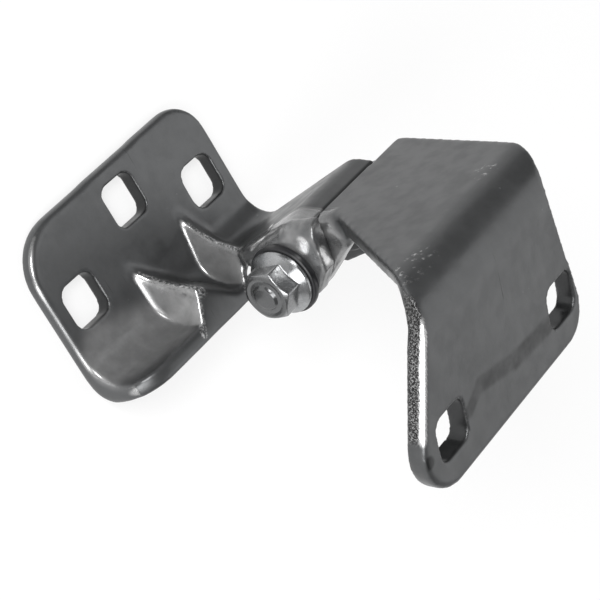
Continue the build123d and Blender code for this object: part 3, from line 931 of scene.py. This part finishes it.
def finish_door(mesh):
    """Rounds the foot's far corner, evens the edges and marks the torn, cut, worn and darker places, with
    painted shade on the holes' walls.
    """
    points, normals = read_surface(mesh)
    points = round_foot(points)
    above_foot = smoothstep(*FOOT_TOP, from_pivot(points, PANEL_UP))
    above_foot = np.maximum(above_foot, points[:, 1] > FOOT_FAR)
    clear = clear_of_holes(hole_gap(from_pivot(points, FLANGE_ALONG), points[:, 1], FLANGE_HOLES))
    write_points(mesh, even_edges(mesh, points, normals, above_foot * clear))
    points, normals = read_surface(mesh)
    along = from_pivot(points, FLANGE_ALONG)
    outward = normals @ FLANGE_FACE
    specks = near_lines(points, SPECKLES)
    specks = SPECK_LEVEL * specks * smoothstep(*SPECK_RANGE, hash_noise(points, SPECK_SIZE, SPECK_SEED))
    torn, cut_band_and_highlight = sheared_side(points, normals, along)
    # Painted shade on the flange holes' walls
    wall_shade = hole_wall_shade(hole_gap(along, points[:, 1], FLANGE_HOLES), outward)
    darker_places = smoothstep(*DARKENING_FACING, outward) * flange_darkening(points)
    write_attribute(mesh, "wear_and_highlight", np.maximum(worn_edges(mesh, points, normals, seed=5), specks))
    write_attribute(mesh, "torn", torn)
    write_attribute(mesh, "cut_band_and_highlight", cut_band_and_highlight)
    write_attribute(mesh, "marks_and_shade", np.maximum(FLANGE_WALL_SHADE * wall_shade, darker_places))
    write_attribute(mesh, "polish", rubbed_ear(points))
    write_attribute(mesh, "rim", np.zeros(len(points)))
    write_attribute(mesh, "painted_light", np.zeros(len(points)))


class HINGE_OT_pillar_leaf(bpy.types.Operator):
    """Finish the pillar leaf with rounded edges and its coating"""

    bl_idname = "hinge.pillar_leaf"
    bl_label = "Pillar leaf"

    def execute(self, context):
        mesh = refined_copy("pillar_leaf", settings().skin_step, settings().edge_passes)
        finish_pillar(mesh)
        material = coated_steel("coated_pillar", tint=1.0)
        piece = link_piece("pillar_leaf_finish", mesh, "pillar", material)
        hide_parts("pillar_leaf")
        return {"FINISHED"}


class HINGE_OT_door_leaf(bpy.types.Operator):
    """Finish the door leaf with rounded edges, its torn edge and its coating"""

    bl_idname = "hinge.door_leaf"
    bl_label = "Door leaf"

    def execute(self, context):
        mesh = refined_copy("door_leaf", settings().skin_step, settings().edge_passes)
        finish_door(mesh)
        # The door leaf's coating is painted 0.84 as dark as the pillar leaf's, a painted shade on one leaf of
        # the same coating
        material = coated_steel("coated_door", tint=0.84)
        piece = link_piece("door_leaf_finish", mesh, "door", material)
        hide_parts("door_leaf")
        return {"FINISHED"}


# Turned pieces: every point is given by an angle about the pivot and a place along it, in millimetres

def node_reach(node):
    """Where a node starts and ends along the pivot, and its radius, in millimetres."""
    low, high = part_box(node)
    return low.y / MM, high.y / MM, (high.x - low.x) / 2 / MM


def about_pivot(radius, place, angle):
    """Points at the given radii and angles about the pivot, and places along it."""
    shape = np.broadcast_shapes(np.shape(radius), np.shape(place), np.shape(angle))
    points = np.empty(shape + (3,))
    points[..., 0] = PIVOT.x + radius * MM * np.cos(angle)
    points[..., 1] = place * MM
    points[..., 2] = PIVOT.z + radius * MM * np.sin(angle)
    return points


def turned(profile):
    """Rings of points from a profile of radii and places, carried about the pivot."""
    return about_pivot(profile[:, :1], profile[:, 1:], TURNS[None])


def grid_mesh(name, points, closed):
    """Mesh of a grid of points that closes about the pivot, and along its profile if closed.

    An open profile starts and ends on the pivot's line, where a fan of triangles closes it.
    """
    rows, columns = points.shape[:2]
    index = np.arange(rows * columns).reshape(rows, columns)
    if closed:
        index = np.vstack([index, index[:1]])
    a, b = index[:-1], index[1:]
    quads = np.stack([a, np.roll(a, -1, 1), np.roll(b, -1, 1), b], -1).reshape(-1, 4)
    places = points.reshape(-1, 3)
    faces = quads.tolist()
    if not closed:
        ends = points[[0, -1]].mean(axis=1)
        places = np.vstack([places, ends])
        first, last = index[0], index[-1]
        start = np.full(columns, rows * columns)
        faces += np.stack([np.roll(first, -1), first, start], -1).tolist()
        faces += np.stack([last, np.roll(last, -1), start + 1], -1).tolist()
    mesh = bpy.data.meshes.new(name)
    mesh.from_pydata(places.tolist(), [], faces)
    mesh.update()
    shape = bmesh.new()
    shape.from_mesh(mesh)
    bmesh.ops.recalc_face_normals(shape, faces=shape.faces)
    shape.to_mesh(mesh)
    shape.free()
    return mesh


def rounded_profile(corners, closed=False):
    """Profile through corners given as (radius, place, rounding), with an arc at each rounded one.

    The arc leaves and meets the straight runs at a distance of rounding times the tangent of
    half the turn, and its points stand over even steps of its chord.
    """
    corners = [(np.array(c[:2], float), c[2]) for c in corners]
    count = len(corners)
    profile = []
    for i, (corner, rounding) in enumerate(corners):
        if rounding == 0 or (not closed and i in (0, count - 1)):
            profile.append(corner)
            continue
        before = corners[i - 1][0] - corner
        after = corners[(i + 1) % count][0] - corner
        before /= np.linalg.norm(before)
        after /= np.linalg.norm(after)
        half_angle = 0.5 * math.acos(float(np.clip(before @ after, -1, 1)))
        inward = (before + after) / np.linalg.norm(before + after)
        middle = corner + inward * rounding / math.sin(half_angle)
        reach = rounding / math.tan(half_angle)
        start, end = corner + before * reach - middle, corner + after * reach - middle
        for k in np.linspace(0, 1, 5):
            spoke = (1 - k) * start + k * end
            profile.append(middle + spoke / np.linalg.norm(spoke) * rounding)
    return np.array(profile)


def divided(profile, step, closed=False):
    """The same profile with extra points, so that none of its runs is longer than the step."""
    line = np.vstack([profile, profile[:1]]) if closed else profile
    parts = []
    for start, end in zip(line[:-1], line[1:]):
        pieces = max(1, int(np.ceil(np.linalg.norm(end - start) / step)))
        parts.append(start + (end - start) * np.arange(pieces)[:, None] / pieces)
    if not closed:
        parts.append(line[-1:])
    return np.vstack(parts)


def soft_min(a, b):
    """The smaller of two numbers, with the change from one to the other rounded."""
    return 0.5 * (a + b - np.sqrt((a - b) ** 2 + SOFT ** 2))


def soft_max(a, b):
    """The larger of two numbers, with the change from one to the other rounded."""
    return 0.5 * (a + b + np.sqrt((a - b) ** 2 + SOFT ** 2))


def hexagon(angle, turn):
    """Radius of a hexagon at each angle, with its corners slightly rounded.

    It is half the width across flats over the cosine of the angle from the nearest flat's middle,
    taken as a soft smallest of the two flats that meet at a corner.
    """
    step = np.pi / 3
    offset = np.mod(angle - math.radians(turn) + step / 2, step) - step / 2
    here = HEX_ACROSS / 2 / np.cos(offset)
    there = HEX_ACROSS / 2 / np.cos(step - np.abs(offset))
    return soft_min(here, there)


def cone_radius(place, first, first_radius, last, last_radius):
    """Radius of a cone at each place, from its radii at two places."""
    return first_radius + (place - first) * (last_radius - first_radius) / (last - first)


def hex_body(places, turn, end, rim_top, flange):
    """Rings of a flanged hexagon between its end and its flange.

    The radius is the larger of the flange's cone and the hexagon, whose corners are cut by the
    end's cone. Along the pivot the flange comes after the bolt's hexagon and before the nut's.
    """
    way = math.copysign(1, rim_top - end)
    end_cone = cone_radius(places, end, CHAMFER_RADII[0], end + way * CHAMFER_LENGTH, CHAMFER_RADII[1])
    flange_cone = cone_radius(
        places, rim_top, flange - FLANGE_ROUND, rim_top - way * FLANGE_CONE, CONE_RADIUS)
    radius = soft_max(soft_min(hexagon(TURNS[None], turn), end_cone), flange_cone)
    return about_pivot(radius, places, TURNS[None])


def bolt_surface():
    """Pivot bolt: domed boss, dished face, cut hexagon, flange, shank and threaded end.

    Every ring is given by its place along the pivot; the radii of the hexagon's and the thread's
    rings depend on the angle as well.
    """
    front, end, flange = node_reach("pivot_bolt")
    seat = node_reach("bush_near")[0] - SEAT_GAP
    rim_top = seat - FLANGE_RIM
    face = turned(rounded_profile([(radius, front + depth, bend) for radius, depth, bend in BOLT_FACE]))
    places = np.linspace(front + BODY_START, rim_top - ROW_GAP, HEX_ROWS)[:, None]
    body = hex_body(places, BOLT_TURN, front + CHAMFER_START, rim_top, flange)
    shank = turned(divided(rounded_profile([
        (flange - FLANGE_ROUND, rim_top, 0), (flange, rim_top + 0.25, 0.2), (flange, seat, 0.35),
        (SHANK_RADIUS, seat, 0.2), (SHANK_RADIUS, SHANK_END, 0),
    ]), SHANK_STEP))
    # The thread: a rounded ridge that advances one pitch a turn and fades in at its start
    along = np.arange(THREAD_START[0], end - THREAD_END, THREAD_PITCH / THREAD_STEPS)[:, None]
    wave = 0.5 + 0.5 * np.cos(2 * np.pi * along / THREAD_PITCH - TURNS[None])
    depth = THREAD_DEPTH * wave ** 1.5 * smoothstep(*THREAD_START, along)
    thread = about_pivot(SHANK_RADIUS - depth, along, TURNS[None])
    tip = turned(rounded_profile([(radius, end + back, bend) for radius, back, bend in BOLT_TIP]))
    return grid_mesh("pivot_bolt_turned", np.vstack([face, body, shank, thread, tip]), False)


def nut_surface():
    """Lock nut: flange, hexagon cut by a cone, collar with its locking ring, and the bore."""
    seat, end, flange = node_reach("lock_nut")
    rim_top = seat + FLANGE_RIM
    hex_end = seat + HEX_END
    collar = HEX_ACROSS / 2 - COLLAR_STEP
    rim = turned(rounded_profile([
        (BORE + 0.4, seat, 0), (flange, seat, 0.3), (flange, rim_top - 0.25, 0.2),
        (flange - FLANGE_ROUND, rim_top, 0),
    ]))
    places = np.linspace(rim_top + ROW_GAP, hex_end, NUT_ROWS)[:, None]
    body = hex_body(places, NUT_TURN, hex_end, rim_top, flange)
    ring = turned(rounded_profile([
        (collar + 0.3, hex_end + 0.02, 0), (collar, hex_end + 0.2, 0.15), (collar, end, 0.8),
        (BORE + 1.1, end, 0.2), (BORE + 0.7, end - 0.8, 0.1), (BORE, end - 1.1, 0), (BORE, seat + 0.3, 0),
    ]))
    return grid_mesh("lock_nut_turned", np.vstack([rim, body, ring]), True)


def ring_surface(name, corners):
    """Closed ring about the pivot, from the corners of its section."""
    return grid_mesh(name, turned(divided(rounded_profile(corners, True), RING_STEP, True)), True)


def bush_corners(node, collar_first):
    """Section of a flanged bush: its bore, barrel and rounded collar."""
    low, high, collar = node_reach(node)
    front, back, way = (low, high, 1) if collar_first else (high, low, -1)
    shoulder = front + way * COLLAR_THICKNESS
    return [
        (BORE, front, 0.3), (collar, front, 0.7), (collar, shoulder, 0.4), (BARREL, shoulder, 0.1),
        (BARREL, back, 0.2), (BORE, back, 0.2),
    ]


def sleeve_corners(node, outer, rounding):
    """Section of a plain ring or tube that fills a node's length."""
    low, high, _ = node_reach(node)
    return [(BORE, low, 0.15), (outer, low, rounding), (outer, high, rounding), (BORE, high, 0.15)]


class HINGE_OT_bolt_and_nut(bpy.types.Operator):
    """Turn the pivot bolt, its washer and its lock nut"""

    bl_idname = "hinge.bolt_and_nut"
    bl_label = "Bolt and nut"

    def execute(self, context):
        washer = ring_surface("washer_turned", sleeve_corners("washer", *WASHER_EDGE))
        front = node_reach("pivot_bolt")[0]
        for mesh, node, material, slot in (
            (bolt_surface(), "pivot_bolt", zinc("zinc_bolt", tint=1.0), "zinc_bolt"),
            (nut_surface(), "lock_nut", zinc("zinc_nut", tint=0.92), "zinc_nut"),
            (washer, "washer", zinc("zinc_washer", tint=0.88), "zinc_nut"),
        ):
            # Painted shade on the bolt's front face
            depth = read_vectors(mesh.vertices, "co")[:, 1] / MM - front
            write_attribute(mesh, "painted_face_shade", 1 - smoothstep(*FACE_SHADE_DEPTH, depth))
            piece = link_piece(mesh.name, mesh, "door", material)
            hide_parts(node)
        return {"FINISHED"}


class HINGE_OT_bushes(bpy.types.Operator):
    """Turn the two flanged bushes and the spacer tube"""

    bl_idname = "hinge.bushes"
    bl_label = "Bushes and spacer"

    def execute(self, context):
        near = ring_surface("bush_near_turned", bush_corners("bush_near", True))
        far = ring_surface("bush_far_turned", bush_corners("bush_far", False))
        spacer = ring_surface("spacer_turned", sleeve_corners("spacer", *SPACER_EDGE))
        for mesh, node, body, material, slot in (
            (near, "bush_near", "pillar", dark_bush("dark_bush_near"), "bush"),
            (far, "bush_far", "pillar", dark_bush("dark_bush_far"), "bush"),
            (spacer, "spacer", "door", plain_steel("spacer_steel"), "spacer_steel"),
        ):
            piece = link_piece(mesh.name, mesh, body, material)
            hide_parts(node)
        return {"FINISHED"}


# Stage

def floor_paper():
    """White paper that, seen directly, in a reflection or through the holes, is mostly its own white."""
    r = Recipe("floor_paper")
    r.set(Base_Color=(*settings().floor_color, 1), Roughness=0.9, Specular_IOR_Level=0.0)
    rays = r.tree.nodes.new("ShaderNodeLightPath").outputs
    seen = r.larger(rays["Is Camera Ray"], rays["Is Glossy Ray"])
    seen = r.larger(seen, rays["Is Transmission Ray"])
    white = r.tree.nodes.new("ShaderNodeEmission")
    white.inputs["Color"].default_value = (1, 1, 1, 1)
    share = r.tree.nodes.new("ShaderNodeMixShader")
    r.link(r.times(seen, FLOOR_GLOW), share.inputs["Fac"])
    r.link(r.shader.outputs[0], share.inputs[1])
    r.link(white.outputs[0], share.inputs[2])
    r.link(share.outputs[0], r.out.inputs["Surface"])
    return r.material


def add_floor(height):
    """Square paper floor at the given height."""
    mesh = bpy.data.meshes.new("floor")
    far = FLOOR_REACH
    mesh.from_pydata([(-far, -far, 0), (far, -far, 0), (far, far, 0), (-far, far, 0)], [], [(0, 1, 2, 3)])
    mesh.materials.append(floor_paper())
    floor = bpy.data.objects.new("floor", mesh)
    bpy.context.scene.collection.objects.link(floor)
    floor.location.z = height


def add_world():
    """Plain white surroundings."""
    world = bpy.data.worlds.new("studio")
    world.use_nodes = True
    background = world.node_tree.nodes["Background"]
    background.inputs["Color"].default_value = (1, 1, 1, 1)
    background.inputs["Strength"].default_value = WORLD_LEVEL
    bpy.context.scene.world = world


def add_lamp(name, place, target, width, height, power):
    """Soft lamp that looks at a target."""
    lamp = bpy.data.lights.new(name, "AREA")
    lamp.shape = "RECTANGLE"
    lamp.size = width
    lamp.size_y = height
    lamp.energy = power
    obj = bpy.data.objects.new(name, lamp)
    bpy.context.scene.collection.objects.link(obj)
    obj.location = place
    obj.rotation_mode = "QUATERNION"
    obj.rotation_quaternion = (Vector(target) - Vector(place)).to_track_quat("-Z", "Y")


def add_camera():
    """Camera at the viewpoint."""
    camera = bpy.data.objects.new("camera", bpy.data.cameras.new("camera"))
    bpy.context.scene.collection.objects.link(camera)
    camera.data.lens = CAMERA_LENS
    camera.data.clip_start, camera.data.clip_end = CAMERA_RANGE
    back = -CAMERA_LOOK.normalized()
    side = CAMERA_UP.cross(back).normalized()
    up = back.cross(side)
    camera.matrix_world = Matrix((
        (side.x, up.x, back.x, CAMERA_PLACE.x),
        (side.y, up.y, back.y, CAMERA_PLACE.y),
        (side.z, up.z, back.z, CAMERA_PLACE.z),
        (0, 0, 0, 1),
    ))
    bpy.context.scene.camera = camera


class HINGE_OT_stage(bpy.types.Operator):
    """Set the pale floor, the soft lamps, the world and the camera"""

    bl_idname = "hinge.stage"
    bl_label = "Stage"

    def execute(self, context):
        low, high = START_BOX
        centre = (low + high) / 2
        add_floor(low.z - FLOOR_GAP)
        add_world()
        for name, side, reach, width, height, power in LAMPS:
            add_lamp(name, centre + Vector(side).normalized() * reach, centre, width, height, power)
        add_camera()
        context.scene.view_settings.view_transform = "Standard"
        return {"FINISHED"}


class HINGE_PT_panel(bpy.types.Panel):
    """Lists the hinge's settings and steps"""

    bl_idname = "HINGE_PT_panel"
    bl_label = "Door hinge"
    bl_space_type = "VIEW_3D"
    bl_region_type = "UI"
    bl_category = "Hinge"

    def draw(self, context):
        for name in HingeSettings.__annotations__:
            self.layout.prop(context.scene.hinge_settings, name)
        for operator in OPERATORS:
            self.layout.operator(operator.bl_idname)


OPERATORS = (
    HINGE_OT_pillar_leaf, HINGE_OT_door_leaf, HINGE_OT_bolt_and_nut, HINGE_OT_bushes, HINGE_OT_stage,
)


def register():
    """Registers the settings, the operators and the panel."""
    bpy.utils.register_class(HingeSettings)
    bpy.types.Scene.hinge_settings = bpy.props.PointerProperty(type=HingeSettings)
    for operator in OPERATORS:
        bpy.utils.register_class(operator)
    bpy.utils.register_class(HINGE_PT_panel)


def unregister():
    """Takes the panel, the operators and the settings away again."""
    bpy.utils.unregister_class(HINGE_PT_panel)
    for operator in reversed(OPERATORS):
        bpy.utils.unregister_class(operator)
    del bpy.types.Scene.hinge_settings
    bpy.utils.unregister_class(HingeSettings)


def main():
    """Builds every piece and the stage."""
    register()
    bpy.ops.hinge.pillar_leaf()
    bpy.ops.hinge.door_leaf()
    bpy.ops.hinge.bolt_and_nut()
    bpy.ops.hinge.bushes()
    bpy.ops.hinge.stage()
    bpy.context.view_layer.update()


if __name__ == "__main__":
    main()
